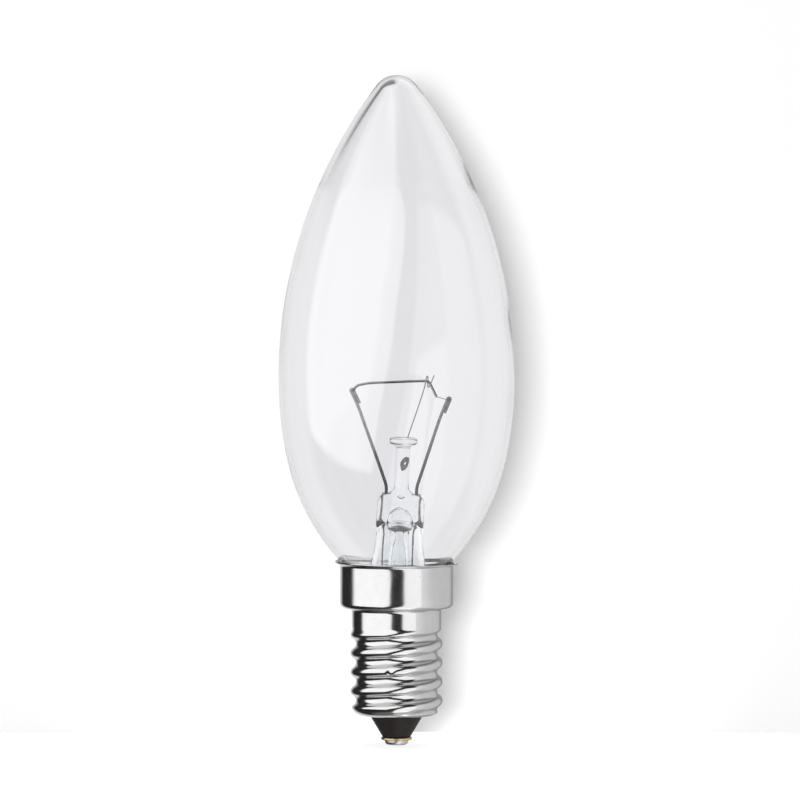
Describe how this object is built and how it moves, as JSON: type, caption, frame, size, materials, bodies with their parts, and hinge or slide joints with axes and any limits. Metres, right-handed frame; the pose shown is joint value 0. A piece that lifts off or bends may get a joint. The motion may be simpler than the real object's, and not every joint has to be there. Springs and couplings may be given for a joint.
{
  "type": "candle bulb",
  "caption": "Clear candle-shaped filament lamp: pointed blown bulb on a small screw cap, with a glass mount, bent leads and a coiled filament inside, for small lamp holders.",
  "frame": {"origin": "on the lamp's axis, at the face of the centre contact", "axes": "+Z along the axis from the contact to the glass tip, upright with the cap down; the leads spread along X; -Y is the front"},
  "size_m": [0.035, 0.035, 0.0993],
  "materials": {
    "bulb_glass": "clear blown",
    "stem_glass": "clear pressed and melted",
    "getter": "dull grey dab",
    "tungsten": "fine coiled wire",
    "support_wire": "drawn wire",
    "nickel_wire": "drawn wire",
    "seal_wire": "copper-clad wire, dulled by the seal",
    "copper_wire": "tinned drawn wire",
    "cap_metal": "nickel-plated sheet, lightly scuffed",
    "black_glass": "glossy black",
    "contact_brass": "pressed sheet",
    "solder": "set solder",
    "cement": "baked, matte"
  },
  "bodies": {
    "root": {"glass_bulb": "bulb_glass", "stem_flare": "stem_glass", "exhaust_tube": "stem_glass", "arbor_rod": "stem_glass", "getter_dab": "getter", "filament": "tungsten", "filament_support": "support_wire", "lead_left": "nickel_wire", "lead_right": "nickel_wire", "seal_wire_left": "seal_wire", "seal_wire_right": "seal_wire", "outer_lead_left": "copper_wire", "outer_lead_right": "copper_wire", "screw_shell": "cap_metal", "insulator": "black_glass", "contact_plate": "contact_brass", "contact_solder": "solder", "rim_solder": "solder", "basing_cement": "cement"}
  },
  "joints": []
}
